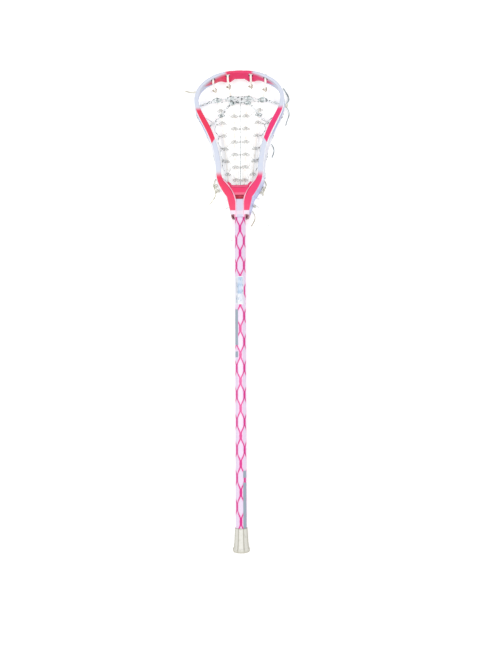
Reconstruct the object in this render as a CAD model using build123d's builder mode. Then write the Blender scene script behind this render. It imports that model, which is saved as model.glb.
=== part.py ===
"""A women's lacrosse stick with a traditional strung pocket, lying face up on the floor.

+Y runs along the shaft towards the scoop, +X is to the right, +Z is up, out of the open face.
The origin is on the floor, half way along the stick. Everything is in millimetres.
"""

import os
from math import pi, radians, tan

from build123d import *

os.makedirs("parts", exist_ok=True)

# ---- Driving dimensions ----------------------------------------------------------------------

overall_length = 1000.0
shaft_axis_z = 17.5  # the shaft lies level, on the head at one end and the butt cap at the other

# Shaft: a 7/8 inch octagonal aluminium tube
across_flats = 22.2
shaft_wall = 1.4
shaft_corner = 2.2
socket_depth = 37.0
sliding_clearance = 0.05

# Head: one moulding, measured from the tip of the scoop
head_length = 312.0
half_width = 94.7  # at the widest place of the front rim
waist_half_width = 49.0  # where the sidewalls run on into the throat
socket_half_width = 16.3
rim_height = 44.0  # floor to the front rim at the scoop
rail_height = 41.0  # floor to the front rails
socket_top = 34.5
rim_thickness = 4.5
rail_width = 10.5
wall_lean = 4.0  # how much wider the back of the head is than its front, on each side
scoop_rake = 22.0  # how far the scoop's wall leans in from the rim down to the floor
scoop_low_edge = 20.0  # floor to the lower edge of the scoop
lip_from_tip = 250.0  # tip to the pocket side of the throat
relief_depth = 4.5  # the groove along the outside of each sidewall
top_rail_depth = 9.0
bottom_rail_depth = 9.0
core_skin = 4.0
flat_back_from_tip = 170.0  # tip to where the back edge starts to rise to the scoop
scoop_back_from_tip = 22.0  # tip to where it has risen
groove_from_lip = 26.0
groove_from_tip = 52.0
groove_end_radius = 5.0
window_count = 4
window_pitch = 36.0
window_length = 24.0
window_height = 9.0
string_hole_count = 9
string_hole_pitch = 21.0
string_hole_radius = 1.7
string_hole_from_lip = 22.0
middle_arch_radius = 30.0
side_arch_radius = 20.0
arch_height = 7.0
crest_half_width = 8.0
shaft_end_gap = 1.0
recess_length = 8.0
recess_floor_z = 26.0
notch_width = 2.6
notch_length = 3.5

# Butt cap: a rubber plug with a flared rim
cap_length = 49.0
cap_end_wall = 9.0
cap_rim_radius = 17.5
cap_rim_length = 12.0
cap_collar_wall = 1.2
cap_body_wall = 2.9
cap_flare_length = 22.0

# Fastener
screw_radius = 1.75
screw_head_radius = 3.4
screw_head_height = 2.2
screw_length = 9.0
screw_from_socket_end = 10.0

# Label film on the front of the shaft
label_length = 59.0
label_centre_y = 34.0
film_thickness = 0.15

# Strings
thong_diameter = 3.4
shooter_diameter = 2.4
lace_diameter = 1.6
sidewall_string_diameter = 1.8
centre_string_diameter = 1.8
tail_diameter = 2.0
thick_tail_diameter = 2.6
string_gap = 0.4
thong_z = 9.0
pad_thickness = 5.0
inner_hole_x = 24.4
outer_hole_x = 55.5
thong_hole_height = 36.0
thong_hole_clearance = 0.7
scoop_slot_height = 6.4
scoop_slot_width = 9.0
inner_throat_x = 7.0
outer_throat_x = 25.0
throat_hole_z = 11.5

# ---- Places worked out from them --------------------------------------------------------------

tip_y = overall_length / 2
flat_back_y = tip_y - flat_back_from_tip
scoop_back_y = tip_y - scoop_back_from_tip
butt_y = -overall_length / 2
socket_end_y = tip_y - head_length
shaft_end_y = socket_end_y + socket_depth
shaft_butt_y = butt_y + cap_end_wall
cap_collar_y = butt_y + cap_length
lip_y = tip_y - lip_from_tip
screw_y = socket_end_y + screw_from_socket_end
label_top_y = label_centre_y + label_length / 2
thong_radius = thong_diameter / 2
lace_z = thong_z - thong_radius - lace_diameter / 2 - string_gap
over_thong = thong_radius + shooter_diameter / 2 + string_gap
throat_length = head_length - lip_from_tip


def back_edge(y):
    """Height of the head's back edge: flat under the throat, rising to the scoop's low edge."""
    share = min(max((y - flat_back_y) / (scoop_back_y - flat_back_y), 0.0), 1.0)
    return scoop_low_edge * share


def outer_outline(height, grow=0.0):
    """Right half of the head's outside, from the tip to the socket end, at one height."""
    back = 1.0 - height / rim_height
    out = wall_lean * back + grow
    rake = scoop_rake * back - grow
    shoulder = half_width - waist_half_width
    socket_back = socket_end_y - max(grow, 0.0)
    return [
        (0.0, tip_y - rake),
        (0.55 * half_width + 0.55 * grow, tip_y - 8.5 - 0.5 * rake),
        (0.93 * half_width + 0.85 * out, tip_y - 37.0 - 0.1 * rake),
        (half_width + out, tip_y - 64.0),
        (waist_half_width + 0.69 * shoulder + out, tip_y - 106.5),
        (waist_half_width + 0.2 * shoulder + out, tip_y - 156.0),
        (waist_half_width + out, tip_y - 213.0),
        (waist_half_width - 3.0 + out, lip_y + 14.0),
        (socket_half_width + 12.0 + 0.9 * out, lip_y - 0.29 * throat_length),
        (socket_half_width + 0.5 * out, socket_back),
    ]


def inner_outline(height):
    """Right half of the ball opening, from the scoop to the throat, at one height."""
    back = 1.0 - height / rim_height
    out = 1.4 * wall_lean * back
    rake = scoop_rake * back
    shoulder = half_width - waist_half_width
    return [
        (0.0, tip_y - rim_thickness - rake),
        (0.51 * half_width, tip_y - rim_thickness - 8.5 - 0.5 * rake),
        (0.93 * half_width - rail_width + 2.5 + 0.85 * out, tip_y - 37.0 - 0.1 * rake),
        (half_width - rail_width + 1.3 + out, tip_y - 63.0),
        (waist_half_width + 0.69 * shoulder - 1.25 * rail_width + out, tip_y - 107.0),
        (waist_half_width + 0.2 * shoulder - 1.05 * rail_width + out, tip_y - 157.0),
        (waist_half_width - 1.04 * rail_width + out, tip_y - 213.0),
        (0.685 * waist_half_width + 0.8 * out, lip_y + 17.0),
        (0.35 * waist_half_width + 0.5 * out, lip_y + 3.0),
        (0.0, lip_y),
    ]


def width_at(outline, y):
    """Half width of an outline at y, read off straight lines between its points."""
    for (x1, y1), (x2, y2) in zip(outline, outline[1:]):
        if y2 <= y <= y1:
            return x1 + (x2 - x1) * (y - y1) / (y2 - y1)
    return outline[-1][0]


def outer_face(height, grow=0.0):
    """The whole outside outline as a sketch at one height."""
    points = outer_outline(height, grow)
    (x1, y1), (x2, y2) = points[-2:]
    with BuildSketch(Plane.XY.offset(height)) as outside:
        with BuildLine():
            Spline(*points, tangents=[(1, 0), (x2 - x1, y2 - y1)])
            Line(points[-1], (0, points[-1][1]))
            mirror(about=Plane.YZ)
        make_face()
    return outside.sketch


def inner_face(height, shift=0.0):
    """The whole ball opening as a sketch at one height, moved towards the tip by shift."""
    points = [(x, y + shift) for x, y in inner_outline(height)]
    with BuildSketch(Plane.XY.offset(height)) as opening:
        with BuildLine():
            Spline(*points, tangents=[(1, 0), (-1, 0)])
            mirror(about=Plane.YZ)
        make_face()
    return opening.sketch


def octagon(flats, corner):
    """An octagon with flats facing X and Z, its corners rounded."""
    RegularPolygon(radius=flats / 2, side_count=8, major_radius=False, rotation=22.5)
    fillet(vertices(), corner)


def across(y, height=None):
    """A plane across the stick at y, centred on the shaft's axis, X to the right and Z up."""
    z = shaft_axis_z if height is None else height
    return Plane(origin=(0, y, z), x_dir=(1, 0, 0), z_dir=(0, -1, 0))


# ---- Head --------------------------------------------------------------------------------------

groove_start = lip_y + groove_from_lip
groove_end = tip_y - groove_from_tip

with BuildPart() as sidewall_relief:
    loft([outer_face(height, 8.0) for height in (-6.0, rim_height + 6.0)], ruled=True)
    inside = [outer_face(height, -relief_depth) for height in (-8.0, rim_height + 8.0)]
    loft(inside, ruled=True, mode=Mode.SUBTRACT)
    with BuildSketch(Plane.YZ) as groove_side:
        with BuildLine():
            Polyline(
                (groove_start, back_edge(groove_start) + bottom_rail_depth),
                (flat_back_y, bottom_rail_depth),
                (groove_end, back_edge(groove_end) + bottom_rail_depth),
                (groove_end, rail_height - top_rail_depth),
                (groove_start, rail_height - top_rail_depth),
                close=True,
            )
        make_face()
        fillet(groove_side.vertices().group_by(Axis.X)[0], groove_end_radius)
    extrude(amount=2 * half_width, both=True, mode=Mode.INTERSECT)

with BuildPart() as ball_opening:
    loft([inner_face(height) for height in (-3.0, rim_height + 7.0)], ruled=True)

with BuildPart() as throat_envelope:
    entry = 2 * socket_half_width
    with BuildSketch(across(socket_end_y - 1.0)):
        octagon(entry + 0.6, 3.0)
    with BuildSketch(across(lip_y + 12.0)):
        octagon(entry + 2.2 * throat_length, 3.0)
    loft(ruled=True)
    with BuildSketch(Plane.XY.offset(-10.0)):
        with Locations((0, (lip_y + 11.0 + tip_y + 20.0) / 2)):
            Rectangle(4 * half_width, tip_y + 20.0 - lip_y - 11.0)
    extrude(amount=rim_height + 30.0)

neck_end_y = shaft_end_y + shaft_end_gap
recess_end_y = neck_end_y + recess_length

with BuildPart() as head_frame:
    loft([outer_face(height) for height in (0.0, rim_height + 4.0)], ruled=True)

    # The side view: front rails that dip towards the socket, and a back edge that rises to the scoop
    with BuildSketch(Plane.YZ):
        with BuildLine():
            front = Spline(
                (socket_end_y - 1.0, socket_top),
                (lip_y, rail_height - 1.5),
                (tip_y - 120.0, rail_height),
                (tip_y + 5.0, rim_height + 0.3),
            )
            Polyline(
                front @ 1,
                (tip_y + 5.0, scoop_low_edge),
                (scoop_back_y, scoop_low_edge),
                (flat_back_y, 0),
                (lip_y - 10.0, 0),
                (socket_end_y - 1.0, shaft_axis_z - socket_half_width),
                front @ 0,
            )
        make_face()
    extrude(amount=2 * half_width, both=True, mode=Mode.INTERSECT)
    add(throat_envelope.part, mode=Mode.INTERSECT)

    # The ball opening, and a groove along the outside of each sidewall
    add(ball_opening.part, mode=Mode.SUBTRACT)
    add(sidewall_relief.part, mode=Mode.SUBTRACT)

    # Windows through both sidewalls, inside that groove
    with BuildSketch(Plane.YZ):
        for index in range(window_count):
            window_y = groove_start + 0.5 * window_pitch + index * window_pitch
            low = back_edge(window_y) + bottom_rail_depth
            middle = (low + rail_height - top_rail_depth) / 2
            with Locations((window_y, middle)):
                SlotOverall(window_length, window_height)
    extrude(amount=2 * half_width, both=True, mode=Mode.SUBTRACT)

    # String holes along both bottom rails
    with BuildSketch(Plane.YZ):
        for index in range(string_hole_count):
            hole_y = lip_y + string_hole_from_lip + index * string_hole_pitch
            with Locations((hole_y, back_edge(hole_y) + bottom_rail_depth / 2)):
                Circle(string_hole_radius)
    extrude(amount=2 * half_width, both=True, mode=Mode.SUBTRACT)

    # Arches along the scoop's lower edge, between the thong holes
    with BuildSketch(Plane.XY.offset(scoop_low_edge - 2.0)):
        with Locations((0, tip_y - 9.0 - middle_arch_radius)):
            Circle(middle_arch_radius)
        for side in (-1, 1):
            arch_x = side * (inner_hole_x + outer_hole_x) / 2
            with Locations((arch_x, tip_y - 14.5 - side_arch_radius)):
                Circle(side_arch_radius)
    extrude(amount=arch_height + 2.0, mode=Mode.SUBTRACT)

    # Slots for the thongs through the scoop: each thong lies on the lower edge of its slot
    scoop_slot_rise = scoop_slot_height / 2 - thong_radius - thong_hole_clearance
    for hole_x, setback in ((inner_hole_x, 0.0), (outer_hole_x, 9.0)):
        for side in (-1, 1):
            with BuildSketch(across(tip_y + 10.0, thong_hole_height)):
                with Locations((side * hole_x, scoop_slot_rise)):
                    SlotOverall(scoop_slot_width, scoop_slot_height)
            extrude(amount=10.0 + 25.0 + setback, mode=Mode.SUBTRACT)

    # The socket for the shaft
    with BuildSketch(across(neck_end_y)):
        octagon(across_flats + 2 * sliding_clearance, shaft_corner)
    extrude(amount=socket_depth + 3.0, mode=Mode.SUBTRACT)

    # The front of the throat: a groove over the socket, a shallow recess past the shaft, a low web
    with BuildSketch(Plane.XY.offset(socket_top - 0.6)):
        with BuildLine():
            Polyline(
                (0, socket_end_y - 2.0),
                (crest_half_width, socket_end_y - 2.0),
                (crest_half_width, neck_end_y),
                (0, neck_end_y),
            )
            mirror(about=Plane.YZ)
        make_face()
    extrude(amount=20.0, mode=Mode.SUBTRACT)
    with BuildSketch(Plane.XY.offset(recess_floor_z)):
        with BuildLine():
            Polyline(
                (0, neck_end_y),
                (crest_half_width, neck_end_y),
                (crest_half_width + 2.2, recess_end_y),
                (0, recess_end_y),
            )
            mirror(about=Plane.YZ)
        make_face()
    extrude(amount=rim_height, mode=Mode.SUBTRACT)
    with BuildSketch(Plane.XY.offset(rail_height - 5.0)):
        with BuildLine():
            crest = Spline(
                (crest_half_width + 2.2, recess_end_y - 0.5),
                (crest_half_width + 6.0, recess_end_y + 5.0),
                (crest_half_width + 12.5, lip_y + 0.5),
            )
            Polyline(crest @ 1, (crest_half_width + 12.5, lip_y + 12.0), (0, lip_y + 12.0))
            Line(crest @ 0, (0, recess_end_y - 0.5))
            mirror(about=Plane.YZ)
        make_face()
    extrude(amount=20.0, mode=Mode.SUBTRACT)

    # Hollows in the back of the throat, either side of the socket
    with BuildSketch(Plane.XY.offset(-1.0)):
        with BuildLine():
            Polyline(
                (across_flats / 2 + core_skin + 2.5, socket_end_y + 32.0),
                (across_flats / 2 + core_skin + 2.5, lip_y - core_skin - 1.0),
                (socket_half_width + 12.5, lip_y + 1.5),
                (socket_half_width + 16.0, lip_y - 2.0),
                (socket_half_width + 7.5, lip_y - 0.3 * throat_length),
                close=True,
            )
        make_face()
        mirror(about=Plane.YZ)
    extrude(amount=29.0, mode=Mode.SUBTRACT)

    # Blind holes in the throat for the lower ends of the thongs
    for hole_x, near, far in (
        (inner_throat_x, recess_end_y - 2.0, lip_y + 4.0),
        (outer_throat_x, lip_y - 6.0, lip_y + 18.0),
    ):
        for side in (-1, 1):
            with BuildSketch(across(far, throat_hole_z)):
                with Locations((side * hole_x, 0)):
                    Circle(thong_radius + thong_hole_clearance)
            extrude(amount=far - near, mode=Mode.SUBTRACT)

    # Open notches at both corners of the socket's mouth
    with BuildSketch(Plane.XY.offset(shaft_axis_z)):
        for side in (-1, 1):
            with Locations((side * (across_flats / 2 + notch_width), socket_end_y)):
                Rectangle(notch_width, 2 * notch_length)
    extrude(amount=30.0, mode=Mode.SUBTRACT)

    # The screw's hole and the seat for its head, on the right
    with BuildSketch(Plane.YZ):
        with Locations((screw_y, shaft_axis_z)):
            Circle(screw_radius + 0.15)
    extrude(amount=2 * socket_half_width, mode=Mode.SUBTRACT)
    with BuildSketch(Plane.YZ.offset(socket_half_width)):
        with Locations((screw_y, shaft_axis_z)):
            Circle(screw_head_radius + 0.5)
    extrude(amount=socket_half_width, mode=Mode.SUBTRACT)

head_frame.part.label = "head_frame"
export_step(head_frame.part, "parts/head_frame.step")

# ---- Ball stop pad -----------------------------------------------------------------------------

pad_low = throat_hole_z + thong_radius + shooter_diameter + 2.5
pad_high = rail_height - 5.2

with BuildPart() as ball_stop:
    add(ball_opening.part)
    pad_face = [inner_face(height, pad_thickness) for height in (-4.0, rim_height + 8.0)]
    loft(pad_face, ruled=True, mode=Mode.SUBTRACT)
    with BuildSketch(Plane.XY.offset(pad_low)):
        with Locations((0, lip_y)):
            Rectangle(waist_half_width, 40.0)
    extrude(amount=pad_high - pad_low, mode=Mode.INTERSECT)

ball_stop.part.label = "ball_stop"
export_step(ball_stop.part, "parts/ball_stop.step")

# ---- Shaft, its label, the screw and the butt cap ---------------------------------------------

shaft_length = shaft_end_y - shaft_butt_y

with BuildPart() as shaft_tube:
    with BuildSketch(across(shaft_end_y)):
        octagon(across_flats, shaft_corner)
        offset(amount=-shaft_wall, mode=Mode.SUBTRACT)
    extrude(amount=shaft_length)
    with BuildSketch(Plane.YZ):
        with Locations((screw_y, shaft_axis_z)):
            Circle(screw_radius)
    extrude(amount=across_flats, mode=Mode.SUBTRACT)

shaft_tube.part.label = "shaft_tube"
export_step(shaft_tube.part, "parts/shaft_tube.step")

# The film covers the left slanted face, the front face and half of the right slanted face.
with BuildPart() as shaft_label:
    with BuildSketch(across(label_top_y)):
        octagon(across_flats + 2 * film_thickness, shaft_corner + film_thickness)
    extrude(amount=label_length)
    with BuildSketch(across(label_top_y + 1.0)):
        octagon(across_flats, shaft_corner)
    extrude(amount=label_length + 2.0, mode=Mode.SUBTRACT)
    with BuildSketch(across(label_top_y + 1.0)):
        with BuildLine():
            Polyline(
                (0, 0),
                (-across_flats, 0.45 * across_flats),
                (-across_flats, across_flats),
                (0.8 * across_flats, across_flats),
                close=True,
            )
        make_face()
    extrude(amount=label_length + 2.0, mode=Mode.INTERSECT)

shaft_label.part.label = "shaft_label"
export_step(shaft_label.part, "parts/shaft_label.step")

with BuildPart() as head_screw:
    with BuildSketch(Plane.YZ.offset(socket_half_width)):
        with Locations((screw_y, shaft_axis_z)):
            Circle(screw_head_radius)
    extrude(amount=screw_head_height)
    with BuildSketch(Plane.YZ.offset(socket_half_width)):
        with Locations((screw_y, shaft_axis_z)):
            Circle(screw_radius)
    extrude(amount=-screw_length)
    fillet(head_screw.edges().filter_by(GeomType.CIRCLE).sort_by(Axis.X)[-1], 0.9)

head_screw.part.label = "head_screw"
export_step(head_screw.part, "parts/head_screw.step")

cap_bore = across_flats + 2 * sliding_clearance
cap_body_y = butt_y + cap_rim_length + 8.0

with BuildPart() as end_cap:
    with BuildSketch(across(cap_collar_y)):
        octagon(cap_bore + 2 * cap_collar_wall, shaft_corner + 1.5)
    with BuildSketch(across(cap_body_y)):
        octagon(cap_bore + 2 * cap_body_wall, shaft_corner + 3.0)
    with BuildSketch(across(butt_y + 5.0)):
        octagon(2 * cap_rim_radius - 3.0, shaft_corner + 4.0)
    loft(ruled=True)
    with BuildSketch(Plane(origin=(0, butt_y, shaft_axis_z), x_dir=(1, 0, 0), z_dir=(0, 0, 1))):
        with BuildLine():
            flat_radius = 0.55 * cap_rim_radius
            rim_side = Line((cap_rim_radius, 5.0), (cap_rim_radius, 8.0))
            flare = Spline(
                rim_side @ 1,
                (cap_rim_radius - 2.4, 10.5),
                (cap_bore / 2 + 1.0, cap_flare_length),
                tangents=[(-0.5, 1), (0, 1)],
            )
            bottom = Spline(
                (flat_radius, 0.0), (cap_rim_radius, 5.0), tangents=[(1, 0), (0, 1)]
            )
            Polyline(flare @ 1, (0, cap_flare_length), (0, 0), (flat_radius, 0))
        make_face()
    revolve(axis=Axis(origin=(0, butt_y, shaft_axis_z), direction=(0, 1, 0)))
    with BuildSketch(across(cap_collar_y + 1.0)):
        octagon(cap_bore, shaft_corner)
    extrude(amount=cap_length - cap_end_wall + 1.0, mode=Mode.SUBTRACT)

end_cap.part.label = "end_cap"
export_step(end_cap.part, "parts/end_cap.step")

# ---- Strings -----------------------------------------------------------------------------------


def corner_radii(points):
    """A tangent arc for each corner, as large as its two runs allow."""
    radii = []
    for before, corner, after in zip(points, points[1:], points[2:]):
        incoming = Vector(*corner) - Vector(*before)
        outgoing = Vector(*after) - Vector(*corner)
        half_turn = radians(incoming.get_angle(outgoing) / 2)
        radii.append(0.45 * min(incoming.length, outgoing.length) / tan(half_turn))
    return radii


def string(name, points, diameter):
    """One round string along its route, written as its own sub-part."""
    radii = corner_radii(points)
    with BuildPart() as piece:
        with BuildLine() as route:
            FilletPolyline(*points, radius=radii)
        with BuildSketch(Plane(origin=route.line @ 0, z_dir=route.line % 0)):
            Circle(diameter / 2)
        sweep(path=route.line)
    length = route.wire().length
    share = piece.part.volume / (pi * diameter**2 / 4 * length)
    print(f"{name}: length {length:.1f}, tightest {min(radii):.1f}, volume {share:.3f}")
    piece.part.label = name
    export_step(piece.part, f"parts/{name}.step")


# Thongs: out of the scoop's holes, down its face, along the pocket and into the throat.
# On the scoop's wall the thong stays its own radius and a gap off the face.
def scoop_inside(x, height):
    """Y of the scoop's inner face at x, at one height."""
    outline = inner_outline(height)
    (x1, y1), (x2, y2), (x3, y3) = outline[:3]
    if x <= x2:
        return y1 + (y2 - y1) * (x / x2) ** 2
    return y2 + (y3 - y2) * ((x - x2) / (x3 - x2)) ** 1.6


def thong_route(hole_x, shape):
    """Points of one right-hand thong. shape is the part of it that lies in the pocket."""
    stand_off = thong_radius + 1.6
    hole_y = scoop_inside(hole_x, thong_hole_height)
    low = scoop_low_edge - 1.0
    low_y = scoop_inside(hole_x, low)
    return [
        (hole_x, hole_y + 2.5, thong_hole_height - 0.5),
        (hole_x, hole_y - stand_off, thong_hole_height),
        (hole_x, low_y - stand_off - 1.0, low),
        *shape,
    ]


inner_thong = thong_route(
    inner_hole_x,
    [
        (inner_hole_x - 4.0, tip_y - 42.0, thong_z + 2.5),
        (inner_hole_x - 12.6, tip_y - 80.0, thong_z),
        (inner_hole_x - 12.4, tip_y - 175.0, thong_z - 0.5),
        (inner_throat_x + 1.0, lip_y + 18.0, thong_z + 0.5),
        (inner_throat_x, lip_y + 7.0, throat_hole_z),
        (inner_throat_x, lip_y - 9.0, throat_hole_z),
    ],
)
outer_thong = thong_route(
    outer_hole_x,
    [
        (outer_hole_x - 4.5, tip_y - 45.0, thong_z + 4.0),
        (outer_hole_x - 14.5, tip_y - 75.0, thong_z + 2.0),
        (outer_hole_x - 23.0, tip_y - 155.0, thong_z + 1.5),
        (outer_throat_x + 1.5, lip_y + 34.0, thong_z + 1.5),
        (outer_throat_x, lip_y + 16.0, throat_hole_z),
        (outer_throat_x, lip_y - 1.0, throat_hole_z),
    ],
)


def mirrored(points):
    return [(-x, y, z) for x, y, z in points]


string("thong_inner_right", inner_thong, thong_diameter)
string("thong_inner_left", mirrored(inner_thong), thong_diameter)
string("thong_outer_right", outer_thong, thong_diameter)
string("thong_outer_left", mirrored(outer_thong), thong_diameter)


def route_x(route, y):
    """X of a thong where it crosses y."""
    for (x1, y1, _), (x2, y2, _) in zip(route, route[1:]):
        if min(y1, y2) <= y <= max(y1, y2) and y1 != y2:
            return x1 + (x2 - x1) * (y - y1) / (y2 - y1)
    return route[-1][0]


# The lace zigzags between two thongs, under them, and wraps each in turn.
inner_rows = [tip_y - 87.0 - 28.0 * row for row in range(6)]
outer_rows = [y + 12.0 for y in inner_rows]
lace_side_gap = 2.3

side_lace = []
for outer_y, inner_y in zip(outer_rows, inner_rows):
    side_lace.append((route_x(outer_thong, outer_y) - 0.6, outer_y, lace_z + 1.0))
    side_lace.append((route_x(inner_thong, inner_y) + lace_side_gap, inner_y, lace_z))
centre_lace = []
for row, inner_y in enumerate(inner_rows):
    side = 1 if row % 2 else -1
    reach = route_x(inner_thong, inner_y) - lace_side_gap + 0.4
    centre_lace.append((side * reach, inner_y, lace_z))
    centre_lace.append((-side * reach, inner_y - 9.0, lace_z))

string("crosslace_right", side_lace, lace_diameter)
string("crosslace_left", mirrored(side_lace), lace_diameter)
string("crosslace_centre", centre_lace, lace_diameter)

centre_route = [
    (0.6, tip_y - 54.0, thong_z + 1.0),
    (-0.4, tip_y - 100.0, thong_z + 0.2),
    (0.4, tip_y - 165.0, thong_z - 0.3),
    (0.0, lip_y + 9.0, thong_z + 0.5),
]
string("centre_string", centre_route, centre_string_diameter)


# Sidewall strings run between the bottom rails and the outer thongs.
def wall_point(y, height, stand_off):
    """A place beside the right sidewall's inner face."""
    return (width_at(inner_outline(height), y) - stand_off, y, height)


sidewall_route = []
for row in range(5):
    wall_y = tip_y - 92.0 - 26.0 * row
    loop_y = wall_y - 13.0
    wall_z = back_edge(wall_y) + bottom_rail_depth / 2
    sidewall_route.append(wall_point(wall_y, wall_z, 3.4))
    sidewall_route.append((route_x(outer_thong, loop_y) + 4.2, loop_y, thong_z + 2.0))
string("sidewall_string_right", sidewall_route, sidewall_string_diameter)
string("sidewall_string_left", mirrored(sidewall_route), sidewall_string_diameter)

# Shooting strings cross above the thongs.
shooter_z = thong_z + 2.5 + over_thong
shooter_wall_y = tip_y - 66.0
shooter_end = wall_point(shooter_wall_y, back_edge(shooter_wall_y) + bottom_rail_depth / 2, 1.6)
straight_shooter = [
    (-shooter_end[0], shooter_end[1], shooter_end[2]),
    (-0.55 * half_width, tip_y - 53.0, shooter_z + 1.2),
    (-0.2 * half_width, tip_y - 49.0, shooter_z),
    (0.2 * half_width, tip_y - 49.5, shooter_z),
    (0.55 * half_width, tip_y - 54.0, shooter_z + 1.2),
    shooter_end,
]
string("shooting_string_straight", straight_shooter, shooter_diameter)

u_wall_y = tip_y - 112.0
u_end = wall_point(u_wall_y, back_edge(u_wall_y) + bottom_rail_depth / 2 + 4.4, 2.4)
u_z = thong_z + 2.4 + over_thong
u_right = [
    (0.12 * half_width, tip_y - 57.5, u_z),
    (0.3 * half_width, tip_y - 68.0, u_z),
    (0.45 * half_width, tip_y - 92.0, u_z),
    u_end,
]
u_shooter = [*reversed(mirrored(u_right)), *u_right]
string("shooting_string_u", u_shooter, shooter_diameter)

throat_wall_y = lip_y + 27.0
throat_end = wall_point(throat_wall_y, bottom_rail_depth / 2 + 9.0, 3.0)
throat_z = throat_hole_z + over_thong
throat_right = [
    (0.2 * waist_half_width, lip_y + 8.5, throat_z),
    (0.55 * waist_half_width, lip_y + 14.0, throat_z),
    (throat_end[0], throat_end[1], throat_z),
]
string("throat_string", [*reversed(mirrored(throat_right)), *throat_right], sidewall_string_diameter)

# ---- Free ends ---------------------------------------------------------------------------------
# Each leaves the outside of a sidewall, drops to the floor and lies on it.

string(
    "tail_scoop_left",
    [(-90.5, 466.5, 15.0), (-97, 468, 13.0), (-105, 469.5, 7.0), (-113, 473, 2.0), (-121, 475, 1.2)],
    tail_diameter,
)
string(
    "tail_shooter_right_up",
    [(99.5, 438, 12.0), (105, 445, 7.0), (104.5, 455, 2.6), (99, 466, 1.5), (93, 476, 1.5)],
    thick_tail_diameter,
)
string(
    "tail_shooter_right_down",
    [(98.8, 430, 12.0), (105, 424, 7.0), (105, 413, 2.4), (100, 403, 1.3), (97.5, 392.5, 1.3)],
    tail_diameter,
)
string(
    "tail_side_right",
    [(66.5, 352, 6.0), (72, 344, 2.6), (72, 333, 1.3), (67.5, 323, 1.3)],
    tail_diameter,
)
string(
    "tail_throat_right",
    [(51.5, 272, 5.5), (56, 265, 2.4), (53, 256, 1.3), (48.5, 248, 1.3), (47.5, 239, 1.3)],
    tail_diameter,
)
string(
    "tail_curl_right",
    [
        (34.8, 235, 5.0),
        (43, 231, 2.0),
        (58, 235, 1.3),
        (76, 233, 1.3),
        (92, 221, 1.3),
        (95, 203, 1.3),
        (86, 188, 1.3),
        (73, 181, 1.3),
    ],
    tail_diameter,
)
string(
    "tail_loop_right",
    [
        (29.0, 221, 5.0),
        (38, 216, 2.0),
        (52, 206, 1.3),
        (62, 188, 1.3),
        (57, 168, 1.3),
        (43, 155, 1.3),
        (29, 158, 1.3),
        (21, 169.5, 1.3),
    ],
    tail_diameter,
)
string(
    "tail_neck_right",
    [(24.8, 207, 5.0), (30, 200, 2.2), (31, 190, 1.3), (26, 180, 1.3), (22.5, 174, 1.3)],
    tail_diameter,
)
string(
    "tail_throat_left",
    [
        (-52.9, 277, 5.5),
        (-58, 270, 2.4),
        (-57, 259, 1.3),
        (-52, 247, 1.3),
        (-58, 233, 1.3),
        (-68, 222, 1.3),
    ],
    tail_diameter,
)
string(
    "tail_loop_left",
    [
        (-27.0, 216, 5.0),
        (-36, 210, 2.0),
        (-50, 198, 1.3),
        (-59, 178, 1.3),
        (-54, 157, 1.3),
        (-37, 146, 1.3),
        (-18, 144, 1.3),
    ],
    tail_diameter,
)
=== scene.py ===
# %% [markdown]
# # A women's lacrosse stick
# The stick lies face up on a pale floor. Its sizes and joints come from a CAD frame, and this
# lesson makes everything that the frame can't hold: dyed plastic, a printed shaft, and a pocket
# of strings. Every place is in the frame's own metres, so nothing has to be fitted afterwards.

from math import atan2, cos, pi, radians, sin, tau

import bpy
import numpy as np
from mathutils import Matrix, Vector
from mathutils.bvhtree import BVHTree


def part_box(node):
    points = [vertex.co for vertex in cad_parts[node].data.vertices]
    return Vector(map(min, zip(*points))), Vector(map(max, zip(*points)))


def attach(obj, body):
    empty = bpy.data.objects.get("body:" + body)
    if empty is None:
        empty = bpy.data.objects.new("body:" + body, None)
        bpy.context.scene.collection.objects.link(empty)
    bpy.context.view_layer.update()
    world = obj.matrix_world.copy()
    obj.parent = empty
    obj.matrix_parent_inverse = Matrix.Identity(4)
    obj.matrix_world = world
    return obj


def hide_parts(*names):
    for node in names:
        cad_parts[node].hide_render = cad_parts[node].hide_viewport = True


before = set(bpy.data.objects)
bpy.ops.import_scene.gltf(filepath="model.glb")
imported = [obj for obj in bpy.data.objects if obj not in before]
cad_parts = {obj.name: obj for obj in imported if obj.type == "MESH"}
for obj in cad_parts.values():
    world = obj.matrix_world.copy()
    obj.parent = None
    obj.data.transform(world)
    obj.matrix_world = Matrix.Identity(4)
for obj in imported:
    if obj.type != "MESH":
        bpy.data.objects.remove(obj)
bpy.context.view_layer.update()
mm = 0.001

# %% [markdown]
# ## The camera
# A stick this long is looked at from 1.5 m above, a little towards the butt and to the right of
# the shaft. A short telephoto lens would flatten it; a 40 mm lens from there gives the slight
# convergence that a hand-held picture has. The camera's axes are built by hand, because a
# quarter degree of roll is easier to say than to dial in.

# %% Camera
def into_scene(name, data):
    """A new object in the scene."""
    made = bpy.data.objects.new(name, data)
    bpy.context.scene.collection.objects.link(made)
    return made


camera_place = Vector((91.9, -178.5, 1519.0)) * mm
camera_aim = Vector((13.3, -47.2, 19.0)) * mm
camera_roll = radians(-0.25)

camera_data = bpy.data.cameras.new("portrait_camera")
camera_data.sensor_width = 36.0
camera_data.lens = 39.67
camera = into_scene("portrait_camera", camera_data)
forward = (camera_aim - camera_place).normalized()
level_right = forward.cross(Vector((0, 1, 0))).normalized()
level_up = level_right.cross(forward)
right = level_right * cos(camera_roll) + level_up * sin(camera_roll)
up = level_up * cos(camera_roll) - level_right * sin(camera_roll)
turned = Matrix((right, up, -forward)).transposed().to_4x4()
camera.matrix_world = Matrix.Translation(camera_place) @ turned
bpy.context.scene.camera = camera
print("camera to aim:", round((camera_aim - camera_place).length, 3), "m")

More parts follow.
